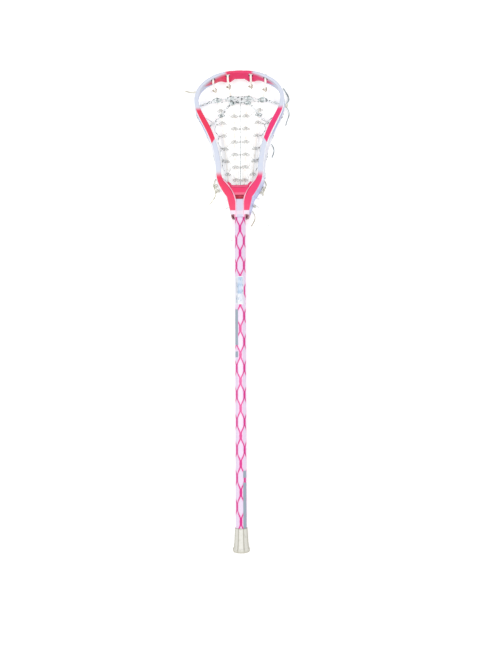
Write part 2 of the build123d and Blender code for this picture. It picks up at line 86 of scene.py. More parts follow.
# %% [markdown]
# ## Lines for cords
# A cord is limp, so its shape is one smooth line that a few chosen points pull along. A NURBS
# curve of order 3 does that: it leaves the first point, ends at the last, and rounds every
# corner between. Blender turns the curve into a mesh line, and every strand, wrap and braid
# below is laid along such a line.


# %% One smooth line, and one with even steps
def centreline(points):
    """The smooth line that a cord takes through its chosen points, given in metres."""
    curve = bpy.data.curves.new("route", "CURVE")
    curve.dimensions = "3D"
    curve.resolution_u = 16
    spline = curve.splines.new("NURBS")
    spline.points.add(len(points) - 1)
    for control, place in zip(spline.points, points):
        control.co = (*place, 1.0)
    spline.order_u = 3
    spline.use_endpoint_u = True
    holder = bpy.data.objects.new("route", curve)
    drawn = bpy.data.meshes.new_from_object(holder)
    line = np.array([vertex.co for vertex in drawn.vertices])
    bpy.data.objects.remove(holder)
    bpy.data.curves.remove(curve)
    bpy.data.meshes.remove(drawn)
    return line


def shift(x, y, z):
    """A step given in millimetres."""
    return np.array([x, y, z]) * mm


def line_length(line):
    return float(np.linalg.norm(np.diff(line, axis=0), axis=1).sum())


def even(line, step):
    """The same line with its points about one step apart."""
    gaps = np.linalg.norm(np.diff(line, axis=0), axis=1)
    along = np.concatenate([[0.0], np.cumsum(gaps)])
    count = max(4, round(along[-1] / step) + 1)
    stations = np.linspace(0.0, along[-1], count)
    return np.column_stack([np.interp(stations, along, line[:, axis]) for axis in range(3)])


# %% [markdown]
# A strand needs to know which way is sideways and which way is up at every point of its line.
# Carrying the first up along, and only straightening it, keeps the section from spinning.


# %% Carry a section along a line
def carried(line):
    """The running direction, the side and the up at each point of a line."""
    run = np.gradient(line, axis=0)
    run /= np.linalg.norm(run, axis=1)[:, None]
    ups = np.zeros_like(run)
    held = np.array([0.0, 0.0, 1.0]) if abs(run[0][2]) < 0.9 else np.array([0.0, 1.0, 0.0])
    for index, way in enumerate(run):
        held = held - held.dot(way) * way
        held /= np.linalg.norm(held)
        ups[index] = held
    return run, np.cross(run, ups), ups


def swept(line, across, lift, finish):
    """A closed skin round a line, with the number of its material. across and lift give each
    ring's points, rings by sides."""
    _, side, rise = carried(line)
    rings = line[:, None] + across[..., None] * side[:, None] + lift[..., None] * rise[:, None]
    ring_count, sides = across.shape
    faces = []
    for ring in range(ring_count - 1):
        for spot in range(sides):
            after = (spot + 1) % sides
            low, high = ring * sides, (ring + 1) * sides
            faces.append((low + spot, high + spot, high + after, low + after))
    faces.append(tuple(range(sides)))
    faces.append(tuple(reversed(range((ring_count - 1) * sides, ring_count * sides))))
    return rings.reshape(-1, 3), faces, finish


def rounded_ends(line, radius):
    """How full each ring is, so that both ends close over like a melted cord end."""
    count = len(line)
    step = line_length(line) / (count - 1)
    from_end = np.minimum(np.arange(count), np.arange(count)[::-1]) * step
    inside = np.clip(1.0 - from_end / radius, 0.0, 0.95)
    return np.sqrt(1.0 - inside**2)


# %% [markdown]
# ## Three kinds of strand
# Lacrosse strings are braided nylon: eight yarns that cross left and right over a core. The
# crossings are real bumps, so the skin's radius follows two opposite spirals and keeps the
# higher one. The thongs are flat strips with soft edges, which a squared-off ellipse gives.


# %% Braid, strip and windings
def braid(line, diameter, finish=0):
    """A braided cord: the bumps are its crossing yarns, and lay is their pitch in diameters."""
    yarns, lay = 4, 3.2
    line = even(line, max(0.3 * diameter, 0.45 * mm))
    along = np.linspace(0.0, line_length(line), len(line))[:, None]
    turn = np.linspace(0.0, tau, 3 * yarns, endpoint=False)[None, :]
    spiral = tau * along / (lay * diameter)
    bump = np.maximum(np.sin(yarns * turn + spiral), np.sin(yarns * turn - spiral))
    radius = diameter / 2 * (0.93 + 0.09 * bump) * rounded_ends(line, diameter / 2)[:, None]
    return swept(line, radius * np.cos(turn), radius * np.sin(turn), finish)


def strip(line, width, thickness):
    """A flat thong with soft edges and a slightly uneven cut."""
    line = even(line, 1.0 * mm)
    along = np.linspace(0.0, line_length(line), len(line))[:, None]
    turn = np.linspace(0.0, tau, 16, endpoint=False)[None, :]
    uneven = 1.0 + 0.05 * np.sin(along / (7.0 * mm)) + 0.03 * np.sin(along / (2.3 * mm))
    ends = rounded_ends(line, thickness / 2)[:, None]
    flat = np.sign(np.cos(turn)) * np.abs(np.cos(turn)) ** 0.7
    tall = np.sign(np.sin(turn)) * np.abs(np.sin(turn)) ** 0.7
    return swept(line, width / 2 * uneven * ends * flat, thickness / 2 * ends * tall, 0)


def wound(line, radius, pitch, phase=0.0):
    """A line that winds round another one, as a wrap or as one strand of a twisted pair."""
    line = even(line, min(0.12 * pitch, 1.0 * mm))
    _, side, rise = carried(line)
    angle = phase + tau * np.linspace(0.0, line_length(line), len(line)) / pitch
    return line + radius * (np.cos(angle)[:, None] * side + np.sin(angle)[:, None] * rise)


def knot_line(centre, size, tilt=0.0):
    """An overhand knot drawn up tight: the trefoil, its flat side up, turned by tilt."""
    turn = np.linspace(0.0, tau, 61)
    across = (np.sin(turn) + 2 * np.sin(2 * turn)) / 3
    along = (np.cos(turn) - 2 * np.cos(2 * turn)) / 3
    height = -np.sin(3 * turn) / 2.2
    turned_across = cos(tilt) * across - sin(tilt) * along
    turned_along = sin(tilt) * across + cos(tilt) * along
    return np.array(centre) + size / 2 * np.column_stack([turned_across, turned_along, height])


# %% [markdown]
# One helper joins such skins into a named piece. It gives each skin its material, rides the
# piece on its CAD body and hides the plain CAD solids it stands for.


# %% Make a piece
def piece(name, skins, materials, nodes, body="stick"):
    """A mesh piece. skins is a list of (points, faces, number of its material)."""
    points, faces, finish, first = [], [], [], 0
    for skin_points, skin_faces, which in skins:
        points.extend(map(tuple, skin_points))
        faces.extend(tuple(corner + first for corner in face) for face in skin_faces)
        finish.extend([which] * len(skin_faces))
        first += len(skin_points)
    mesh = bpy.data.meshes.new(name)
    mesh.from_pydata(points, [], faces)
    for material in materials:
        mesh.materials.append(material)
    mesh.polygons.foreach_set("material_index", finish)
    mesh.shade_smooth()
    made = into_scene(name, mesh)
    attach(made, body)
    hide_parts(*nodes)
    print(f"{name}: {len(skins)} skins, {len(faces)} faces")
    return made


# %% [markdown]
# ## Helpers for finishes
# Colours are written as sRGB hex, the way a swatch book gives them, and turned to linear light
# once, here. Patterns are measured in millimetres: each material scales its own coordinates, so
# a number in a node is a size on the stick.


# %% Colour and node helpers
def paint(code):
    """A hex colour as linear RGBA."""
    shares = [int(code[start : start + 2], 16) / 255 for start in (1, 3, 5)]
    return (*[s / 12.92 if s <= 0.04045 else ((s + 0.055) / 1.055) ** 2.4 for s in shares], 1.0)


def feed(tree, node, inputs):
    """Sets a node's inputs. Each is a number, a hex colour or the socket that feeds it."""
    for socket, value in inputs.items() if isinstance(inputs, dict) else enumerate(inputs):
        if isinstance(value, bpy.types.NodeSocket):
            tree.links.new(value, node.inputs[socket])
        else:
            known = paint(value) if isinstance(value, str) else value
            node.inputs[socket].default_value = known


def add_node(tree, kind, inputs, out=0, **settings):
    """One node with its settings and links. Gives its output out, or all of them for None."""
    made = tree.nodes.new("ShaderNode" + kind)
    for setting, value in settings.items():
        setattr(made, setting, value)
    feed(tree, made, inputs)
    return made.outputs if out is None else made.outputs[out]


def start_material(name, roughness, ior, metallic=0.0):
    """A new material, its shader, and the place on the stick in millimetres."""
    material = bpy.data.materials.new(name)
    material.use_nodes = True
    tree = material.node_tree
    shader = tree.nodes["Principled BSDF"]
    feed(tree, shader, {"Roughness": roughness, "IOR": ior, "Metallic": metallic})
    place = add_node(tree, "TexCoord", [], out="Object")
    place_mm = add_node(tree, "VectorMath", {0: place, "Scale": 1 / mm}, operation="SCALE")
    return material, tree, shader, place_mm


# %% [markdown]
# ## Braided nylon
# The strings are bleached nylon braid. Nylon yarn is bright and a little waxy, and a used pocket
# picks up grey and brown where knots rub: that grime is noise a few millimetres long, drawn
# coarser than real dirt so that it shows at this distance. The yarn's fine ridges, 0.35 mm on a
# real braid, are drawn at 0.5 mm in the bump.


# %% Nylon finishes
def nylon_braid(name, clean, grime, amount, speck_mm):
    """Braided nylon. amount is the share of the cord that grime covers."""
    material, tree, shader, place_mm = start_material(name, roughness=0.55, ior=1.53)
    spread = {"Vector": place_mm, "Scale": 1 / speck_mm, "Detail": 3.0, "Roughness": 0.65}
    specks = add_node(tree, "TexNoise", spread)
    edge = 0.62 - 0.24 * amount
    worn = {"Value": specks, "From Min": edge, "From Max": edge + 0.12}
    mask = add_node(tree, "MapRange", worn, interpolation_type="SMOOTHSTEP")
    tone = add_node(tree, "Mix", {0: mask, 6: clean, 7: grime}, out=2, data_type="RGBA")
    yarn = add_node(tree, "TexNoise", {"Vector": place_mm, "Scale": 1 / 0.5, "Detail": 2.0})
    bump = add_node(tree, "Bump", {"Height": yarn, "Strength": 0.25, "Distance": 0.1 * mm})
    feed(tree, shader, {"Base Color": tone, "Normal": bump, "Sheen Weight": 0.15})
    return material


lace_nylon = nylon_braid("bleached_nylon_lace", "#EDEFEC", "#C4C2BC", 0.5, 4.0)
# The knot and hitch nylons have darker bases than their cords: painted shade in the turns. Their
# grime is noise, as on the cords.
knot_nylon = nylon_braid("shaded_worn_nylon_knot", "#D2D5D3", "#A09A92", 0.5, 2.5)
shooter_nylon = nylon_braid("flecked_nylon_shooter", "#E9EEEF", "#2C383D", 0.5, 4.6)
shooter_knot = nylon_braid("flecked_nylon_hitch", "#C3D0CF", "#3A484B", 0.5, 3.6)
# The centre cord's nylon is greyer than the lace.
centre_nylon = nylon_braid("grey_centre_nylon_cord", "#C6CFD0", "#74827F", 0.6, 5.0)
pale_nylon = nylon_braid("clean_nylon_tail", "#F4F1E8", "#E2E6E2", 0.6, 12.0)
grey_nylon = nylon_braid("grey_nylon_tail", "#A9B6BA", "#66757C", 0.7, 9.0)
earth_nylon = nylon_braid("earthy_nylon_tail", "#D9D6C4", "#A39E86", 0.7, 9.0)

# %% [markdown]
# ## The free ends
# Ten string ends hang out of the head where they were tied off. Each leaves the outside of a
# sidewall, drops to the floor and lies there in the loose curve it was left in. They come early
# in the script, because how far they spread decides how large the whole model is.

# %% Free ends
tail_points = {
    "tail_scoop_left": [
        (-90.5, 466.5, 15), (-97, 468, 13), (-105, 469.5, 7), (-113, 473, 2), (-121, 475, 1.2),
    ],
    "tail_shooter_right_up": [
        (99.5, 438, 12), (105, 445, 7), (104.5, 455, 2.6), (99, 466, 1.5), (93, 476, 1.5),
    ],
    "tail_shooter_right_down": [
        (98.8, 430, 12), (105, 424, 7), (105, 413, 2.4), (100, 403, 1.3), (97.5, 392.5, 1.3),
    ],
    "tail_side_right": [(66.5, 352, 6), (72, 344, 2.6), (72, 333, 1.3), (67.5, 323, 1.3)],
    "tail_throat_right": [
        (51.5, 272, 5.5), (56, 265, 2.4), (53, 256, 1.3), (48.5, 248, 1.3), (47.5, 239, 1.3),
    ],
    "tail_curl_right": [
        (34.8, 235, 5), (43, 231, 2), (58, 235, 1.3), (76, 233, 1.3),
        (92, 221, 1.3), (95, 203, 1.3), (86, 188, 1.3), (73, 181, 1.3),
    ],
    "tail_loop_right": [
        (29, 221, 5), (38, 216, 2), (52, 206, 1.3), (62, 188, 1.3),
        (57, 168, 1.3), (43, 155, 1.3), (29, 158, 1.3), (21, 169.5, 1.3),
    ],
    "tail_neck_right": [
        (24.8, 207, 5), (30, 200, 2.2), (31, 190, 1.3), (26, 180, 1.3), (22.5, 174, 1.3),
    ],
    "tail_throat_left": [
        (-52.9, 277, 5.5), (-58, 270, 2.4), (-57, 259, 1.3),
        (-52, 247, 1.3), (-58, 233, 1.3), (-68, 222, 1.3),
    ],
    "tail_loop_left": [
        (-27, 216, 5), (-36, 210, 2), (-50, 198, 1.3), (-59, 178, 1.3),
        (-54, 157, 1.3), (-37, 146, 1.3), (-18, 144, 1.3),
    ],
}
tail_diameters = {name: 2.0 * mm for name in tail_points}
tail_diameters["tail_shooter_right_up"] = 2.6 * mm
tail_finishes = {name: pale_nylon for name in tail_points}
for name in ("tail_shooter_right_up", "tail_shooter_right_down", "tail_side_right"):
    tail_finishes[name] = grey_nylon
for name in ("tail_scoop_left", "tail_throat_left", "tail_throat_right", "tail_neck_right"):
    tail_finishes[name] = earth_nylon

for name, points in tail_points.items():
    points = [Vector(point) * mm for point in points]
    line = centreline(points)
    diameter = tail_diameters[name]
    skins = [braid(line, diameter)]
    end = piece(f"{name}_cord", skins, [tail_finishes[name]], [name])
    print(f"{name}: {line_length(line) / mm:.1f} mm long")

# %% [markdown]
# ## Reading places off the frame
# The CAD strings are plain tubes, but they lie in the right places. Cutting one with a plane and
# taking the middle of the cut gives a point on its centreline, so the dressed string follows the
# same way. A ray sent at the head finds its walls.


# %% Cut a CAD string, and find a wall
def crossing(node, axis, value):
    """The middle of a CAD string where it crosses value along an axis, 0 for X and 1 for Y."""
    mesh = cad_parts[node].data
    points = np.array([vertex.co for vertex in mesh.vertices])
    ends = np.array([edge.vertices for edge in mesh.edges])
    start, stop = points[ends[:, 0]], points[ends[:, 1]]
    cuts = (start[:, axis] - value) * (stop[:, axis] - value) < 0
    start, stop = start[cuts], stop[cuts]
    share = (value - start[:, axis]) / (stop[:, axis] - start[:, axis])
    cut = start + share[:, None] * (stop - start)
    return (cut.min(axis=0) + cut.max(axis=0)) / 2


def follow(node, axis, stations):
    """Points on a CAD string's centreline at each station, in millimetres along an axis."""
    return [crossing(node, axis, station * mm) for station in stations]


head_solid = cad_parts["head_frame"].data
head_tree = BVHTree.FromPolygons(
    [vertex.co for vertex in head_solid.vertices], [face.vertices for face in head_solid.polygons]
)


def outer_wall(side, y, z):
    """X of the head's outside, left (-1) or right (1), looked for just above a string hole."""
    start = Vector((side * 0.2, y, z + 2.8 * mm))
    return head_tree.ray_cast(start, Vector((-side, 0, 0)))[0].x


tip_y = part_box("head_frame")[1].y / mm
lip_y = tip_y - 250.0
print("tip and pocket lip at", round(tip_y, 1), round(lip_y, 1), "mm")

# %% [markdown]
# ## The head: dip-dyed nylon
# The head is one injection moulding in nylon. Mould makers round every edge, so the CAD solid is
# copied, given an even skin of small voxels, and eased; the CAD mesh itself stays untouched.
# Subdividing a CAD mesh would pucker at its long thin triangles, which is why the skin is remade.


# %% Copy a CAD solid with eased edges
def moulded(name, node, voxel, passes, material, body):
    """A copy of a CAD solid with its edges rounded as a mould rounds them."""
    made = into_scene(name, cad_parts[node].data.copy())
    weld = made.modifiers.new("weld", "WELD")
    weld.merge_threshold = 0.001 * mm
    skin = made.modifiers.new("even_skin", "REMESH")
    skin.mode = "VOXEL"
    skin.voxel_size = voxel
    ease = made.modifiers.new("eased_edges", "SMOOTH")
    ease.factor = 0.5
    ease.iterations = passes
    bpy.context.view_layer.update()
    solved = made.evaluated_get(bpy.context.evaluated_depsgraph_get())
    mesh = bpy.data.meshes.new_from_object(solved)
    made.modifiers.clear()
    made.data = mesh
    mesh.name = name
    mesh.materials.clear()
    mesh.materials.append(material)
    mesh.shade_smooth()
    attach(made, body)
    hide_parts(node)
    print(f"{name}: {len(mesh.polygons)} faces")
    return made


# %% [markdown]
# The plastic is moulded in a pale lavender white, and then dipped face down in pink dye in three
# places: the middle of the scoop, both sidewalls half way down, and the throat. The outside of
# the walls and the back rail stay pale. Dye creeps, so every border is a fade a few millimetres
# long. Moulded nylon is glossy and slightly waxy: IOR 1.53, and a coat as thin as the skin that
# the mould leaves.


# %% Where the dye goes, and the painted shade and highlights
def dyed_and_shaded_nylon():
    material, tree, shader, place_mm = start_material("dip_dyed_and_shaded_nylon", roughness=0.32, ior=1.53)
    x, y, z = add_node(tree, "SeparateXYZ", [place_mm], out=None)
    side = add_node(tree, "Math", [x], operation="ABSOLUTE")
    wander = add_node(tree, "TexNoise", {"Vector": place_mm, "Scale": 1 / 9.0, "Detail": 2.0})

    # Each border is a height above or below a curve: start value, then factor times a power
    curves = {
        "scoop_top": (side, 0.0, 2.0, -0.0055, 498.0),
        "scoop_low": (side, 0.0, 1.0, -0.35, 492.3),
        "rail_low": (side, 0.0, 1.0, -1.6, 436.0),
        "crest": (y, 215.0, 2.0, 0.0103, 8.0),
    }
    height = {}
    for name, (value, start, power, factor, base) in curves.items():
        past = add_node(tree, "Math", [value, start], operation="SUBTRACT")
        past = add_node(tree, "Math", [past, 0.0], operation="MAXIMUM")
        bent = add_node(tree, "Math", [past, power], operation="POWER")
        height[name] = add_node(tree, "Math", [bent, factor, base], operation="MULTIPLY_ADD")
    # The scoop was dipped at a slant, so its borders lean back as they go down the wall
    slant = add_node(tree, "Math", [z, 0.45, -18.2], operation="MULTIPLY_ADD")
    leaned = add_node(tree, "Math", [y, slant], operation="ADD")
    over = {}
    for name, along in (("scoop_top", leaned), ("scoop_low", leaned), ("rail_low", y)):
        over[name] = add_node(tree, "Math", [along, height[name]], operation="SUBTRACT")
    off_crest = add_node(tree, "Math", [side, height["crest"]], operation="SUBTRACT")
    # How far a place is from the middle of a thong slot, where 1 is the slot's edge
    slot_places, slot_z = (24.4, 55.5), 36.8
    slot_half_width, slot_half_height = 4.9, 3.7
    near_slot = []
    for slot_x in slot_places:
        off = add_node(tree, "Math", [side, slot_x], operation="SUBTRACT")
        near_slot.append(add_node(tree, "Math", [off], operation="ABSOLUTE"))
    off = add_node(tree, "Math", near_slot, operation="MINIMUM")
    wide = add_node(tree, "Math", [off, slot_half_width], operation="DIVIDE")
    rise = add_node(tree, "Math", [z, slot_z], operation="SUBTRACT")
    tall = add_node(tree, "Math", [rise, slot_half_height], operation="DIVIDE")
    slot_gap = add_node(tree, "CombineXYZ", [wide, tall])
    off_slot = add_node(tree, "VectorMath", [slot_gap], out="Value", operation="LENGTH")
    # How far the surface faces away from the stick's middle
    outward = add_node(tree, "NewGeometry", [], out="Normal")
    outward = add_node(tree, "SeparateXYZ", [outward])
    outward = add_node(tree, "Math", [outward, x], operation="MULTIPLY")
    outward = add_node(tree, "Math", [outward, side], operation="DIVIDE")

    fades = {
        "scoop_middle": (side, 33.0, 24.0),
        "under_rim": (over["scoop_top"], 4.5, -4.5),
        "scoop_tip": (side, 78.0, 68.0),
        "scoop_inner": (side, 55.0, 49.0),
        "above_low": (over["scoop_low"], -1.5, 1.5),
        "scoop_only": (y, 452.0, 458.0),
        "rail_top": (y, 424.0, 414.0),
        "rail_bottom": (over["rail_low"], -2.0, 2.0),
        "throat": (y, 285.0, 270.0),
        "outward": (outward, 0.55, 0.75),
        "right": (x, -1.0, 1.0),
        "back_rail": (z, 16.0, 12.0),
        "crest_near": (off_crest, -1.5, -0.8),
        "crest_far": (off_crest, 1.3, 0.7),
        "gully_near": (off_crest, 1.1, 1.7),
        "gully_far": (off_crest, 3.4, 2.2),
        "crest_high": (y, 268.0, 262.0),
        "front": (z, 27.0, 29.0),
        "neck_wide": (side, 8.2, 7.4),
        "neck_top": (y, 226.6, 225.4),
        "below_step": (y, 234.4, 233.2),
        "above_neck": (y, 225.4, 226.6),
        "step_top": (y, 240.0, 238.2),
        "step_low": (y, 233.2, 234.4),
        "middle_only": (off_crest, 0.0, -0.8),
        "socket_pale": (y, 204.0, 190.0),
        "band_top": (y, 201.4, 200.4),
        "band_low": (y, 192.2, 193.2),
        "slot_shade": (off_slot, 1.04, 0.96),
        "notch_end": (y, 193.4, 192.4),
        "notch_out": (side, 11.6, 12.2),
        "lavender": (y, 300.0, 240.0),
    }
    mask = {}
    for name, (value, start, stop) in fades.items():
        span = {"Value": value, "From Min": start, "From Max": stop}
        mask[name] = add_node(tree, "MapRange", span, interpolation_type="SMOOTHSTEP")
    joined = [
        ("scoop_face", "MAXIMUM", ("scoop_middle", "under_rim")),
        ("scoop_under", "MAXIMUM", ("scoop_inner", "above_low")),
        ("scoop", "MULTIPLY", ("scoop_face", "scoop_under", "scoop_tip", "scoop_only")),
        ("rails", "MULTIPLY", ("rail_top", "rail_bottom", "front")),
        ("throat_front", "MULTIPLY", ("throat", "front")),
        ("crest_highlight", "MULTIPLY", ("crest_near", "crest_far", "crest_high", "front")),
        ("crest_shadow", "MULTIPLY", ("gully_near", "gully_far", "crest_high", "front", "step_low")),
        ("neck", "MULTIPLY", ("neck_wide", "neck_top", "front")),
        ("band", "MULTIPLY", ("band_top", "band_low", "front")),
        ("right_throat_shade", "MULTIPLY", ("outward", "lavender", "right")),
        ("notch_shade", "MULTIPLY", ("notch_end", "notch_out")),
        ("slot_shade", "MULTIPLY", ("slot_shade", "scoop_only")),
        ("recess", "MULTIPLY", ("below_step", "above_neck", "middle_only")),
        ("step", "MULTIPLY", ("step_top", "step_low", "middle_only", "front")),
    ]
    for name, operation, parts in joined:
        total = mask[parts[0]]
        for part in parts[1:]:
            total = add_node(tree, "Math", [total, mask[part]], operation=operation)
        mask[name] = total

    # Pale plastic, darker and bluer low on the walls as painted shade, with a random cloud;
    # then each dye over it in turn
    depth = add_node(tree, "MapRange", {"Value": z, "From Min": 40.0, "From Max": 8.0})
    drift = add_node(tree, "Math", [wander, 0.5, -0.2], operation="MULTIPLY_ADD")
    shade_and_cloud = add_node(tree, "Math", [depth, drift], operation="ADD")
    tone = add_node(tree, "Mix", {0: shade_and_cloud, 6: "#CBD0DE", 7: "#A3B8E2"}, out=2, data_type="RGBA")
    across = add_node(tree, "MapRange", {"Value": x, "From Min": -60.0, "From Max": 60.0})
    pink = add_node(tree, "Mix", {0: across, 6: "#DF2A52", 7: "#E02B6E"}, out=2, data_type="RGBA")
    layers = [
        ("scoop", pink),
        ("rails", pink),
        ("throat_front", pink),
        ("back_rail", "#E9EAF0"),
        ("outward", "#E9EAF0"),
        # Painted shade: lavender on the outward wall of the throat's right side only
        ("right_throat_shade", "#A9AFDC"),
        ("socket_pale", "#E08CAE"),
        ("step", "#E0607F"),
        # Painted shade: the deep recess between the step and the neck is a darker crimson
        ("recess", "#C21038"),
        # Painted shadow: a dark crimson line just outside each crest
        ("crest_shadow", "#A80A38"),
        # Painted highlight: the neck's front facet is a pale lavender
        ("neck", "#C9C5DA"),
        ("band", "#DCCFDC"),
        # Painted shade: a dark rim round each thong slot
        ("slot_shade", "#5A2A38"),
        # Painted shade: the outer corners of the socket's end, where the notches open, are dark
        ("notch_shade", "#7A3846"),
        # Painted highlight: a pale pink line along each crest
        ("crest_highlight", "#F2BFD4"),
    ]
    for name, colour in layers:
        tone = add_node(tree, "Mix", {0: mask[name], 6: tone, 7: colour}, out=2, data_type="RGBA")

    # The mould's satin grain, 0.4 mm, and the flow marks that nylon shows in a low light
    grain = add_node(tree, "TexNoise", {"Vector": place_mm, "Scale": 1 / 0.4, "Detail": 1.0})
    bump = add_node(tree, "Bump", {"Height": grain, "Strength": 0.08, "Distance": 0.05 * mm})
    gloss = add_node(tree, "MapRange", {"Value": wander, "To Min": 0.26, "To Max": 0.4})
    feed(tree, shader, {"Base Color": tone, "Normal": bump, "Roughness": gloss})
    feed(tree, shader, {"Coat Weight": 0.1, "Coat Roughness": 0.15})
    return material


moulded("head_moulding", "head_frame", 0.9 * mm, 3, dyed_and_shaded_nylon(), "stick")

# %% [markdown]
# ## The ball stop
# A strip of closed-cell EVA foam lines the throat, so a ball doesn't rattle on the plastic. Cut
# foam has open half-cells on its surface, about 0.3 mm wide. They are drawn at 0.8 mm so that
# the pad reads as foam and not as plastic.


# %% Foam
def eva_foam():
    material, tree, shader, place_mm = start_material("eva_foam", roughness=0.85, ior=1.49)
    cell = add_node(tree, "TexVoronoi", {"Vector": place_mm, "Scale": 1 / 0.8})
    tone = add_node(tree, "Mix", {0: cell, 6: "#C8345C", 7: "#DC6486"}, out=2, data_type="RGBA")
    bump = add_node(tree, "Bump", {"Height": cell, "Strength": 0.4, "Distance": 0.2 * mm})
    feed(tree, shader, {"Base Color": tone, "Normal": bump})
    return material


stop = moulded("ball_stop_pad", "ball_stop", 0.6 * mm, 4, eva_foam(), "stick")

# %% [markdown]
# ## The shaft: printed, lacquered aluminium
# The tube keeps its CAD shape. Its finish is a film print under clear lacquer: long pale lens
# shapes in a magenta net. Unrolled, the net is two mirrored cosine waves for every pair of
# facets. They meet on the middle of one facet, part, and meet again on the next, so a facet
# counts as one unit across, and 51 mm is one unit along; the film was pulled a little longer
# towards the butt.


# %% Round an eight-sided piece, and inside an outline
def facets_round(tree, x, z, node):
    """Where a place is round an eight-sided piece: 0 on its top facet, and 1 a facet further."""
    low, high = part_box(node)
    rise = add_node(tree, "Math", [z, (low.z + high.z) / 2 / mm], operation="SUBTRACT")
    angle = add_node(tree, "Math", [x, rise], operation="ARCTAN2")
    return add_node(tree, "Math", [angle, pi / 4], operation="DIVIDE")


def within(tree, cover, edges):
    """A print's cover, cut down to where each value is past its edge, a fade from start to stop."""
    for value, start, stop in edges:
        past = add_node(tree, "MapRange", {"Value": value, "From Min": start, "From Max": stop})
        cover = add_node(tree, "Math", [cover, past], operation="MULTIPLY")
    return cover


# %% The net, and four plain bars
def printed_aluminium():
    material, tree, shader, place_mm = start_material("lacquered_print", roughness=0.3, ior=1.5)
    x, y, z = add_node(tree, "SeparateXYZ", [place_mm], out=None)
    facet = facets_round(tree, x, z, "shaft_tube")
    folded = add_node(tree, "Math", [facet, 1.0], operation="PINGPONG")

    # Units along the shaft, from where the net starts: so many in a mm, and fewer further down
    net_start, net_rate, net_stretch, facet_width = 164.0, 0.01944, -0.0000019, 9.2
    down = add_node(tree, "Math", [net_start, y], operation="SUBTRACT")
    pull = add_node(tree, "Math", [down, net_stretch, net_rate], operation="MULTIPLY_ADD")
    repeat = add_node(tree, "Math", [down, pull], operation="MULTIPLY")
    phase = add_node(tree, "Math", [repeat, tau], operation="MULTIPLY")
    wave = add_node(tree, "Math", [phase], operation="COSINE")
    path = add_node(tree, "Math", [wave, -0.5, 0.5], operation="MULTIPLY_ADD")
    apart = add_node(tree, "Math", [folded, path], operation="SUBTRACT")
    apart = add_node(tree, "Math", [apart], operation="ABSOLUTE")
    apart = add_node(tree, "Math", [apart, facet_width], operation="MULTIPLY")
    meeting = add_node(tree, "Math", [wave, 6.0], operation="POWER")
    stroke = add_node(tree, "Math", [meeting, 1.5, 1.3], operation="MULTIPLY_ADD")
    inside = add_node(tree, "Math", [stroke, apart], operation="SUBTRACT")
    net = {"Value": inside, "From Min": -0.45, "From Max": 0.25}
    net = add_node(tree, "MapRange", net, interpolation_type="SMOOTHSTEP")
    glow = {"Value": inside, "From Min": -3.2, "From Max": 0.0}
    glow = add_node(tree, "MapRange", glow, interpolation_type="SMOOTHSTEP")

    grain = {"Vector": place_mm, "Scale": 1 / 1.6, "Detail": 3.0, "Roughness": 0.7}
    grain = add_node(tree, "TexNoise", grain)
    tone = add_node(tree, "Mix", {0: grain, 6: "#C7B4D0", 7: "#E7DAEA"}, out=2, data_type="RGBA")
    halo = add_node(tree, "Math", [glow, 0.5], operation="MULTIPLY")
    layers = [(halo, "#D984C0"), (net, "#CC107E")]

    # Plain grey-blue bars, where a maker would put lettering: facet and span along the shaft
    bars = [(-1.0, -80.0, -5.5), (-1.0, -105.0, -93.0), (1.0, -350.0, -336.0), (1.0, -451.0, -360.0)]
    for which, first, last in bars:
        off = add_node(tree, "Math", [facet, which], operation="SUBTRACT")
        off = add_node(tree, "Math", [off], operation="ABSOLUTE")
        cover = add_node(tree, "MapRange", {"Value": off, "From Min": 0.52, "From Max": 0.46})
        ends = [(y, first - 0.6, first + 0.6), (y, last + 0.6, last - 0.6)]
        layers.append((within(tree, cover, ends), "#8C9CAA"))
    for cover, colour in layers:
        tone = add_node(tree, "Mix", {0: cover, 6: tone, 7: colour}, out=2, data_type="RGBA")

    # Orange peel in the lacquer, about 2 mm
    peel = add_node(tree, "TexNoise", {"Vector": place_mm, "Scale": 1 / 2.0})
    bump = add_node(tree, "Bump", {"Height": peel, "Strength": 0.05, "Distance": 0.1 * mm})
    feed(tree, shader, {"Base Color": tone, "Normal": bump})
    feed(tree, shader, {"Coat Weight": 0.3, "Coat Roughness": 0.12})
    return material


def finish_node(node, material):
    """Gives a CAD node that keeps its shape a better material."""
    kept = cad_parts[node]
    for index in range(len(kept.data.materials)):
        kept.data.materials[index] = material
    print(f"{node}: finished in {material.name}")


finish_node("shaft_tube", printed_aluminium())

# %% [markdown]
# ## The label
# A white polyester film is wrapped over the front of the shaft. Where the real one would carry
# words it has three plain pale blocks, and over them rows of faint blue bricks 2 mm tall.


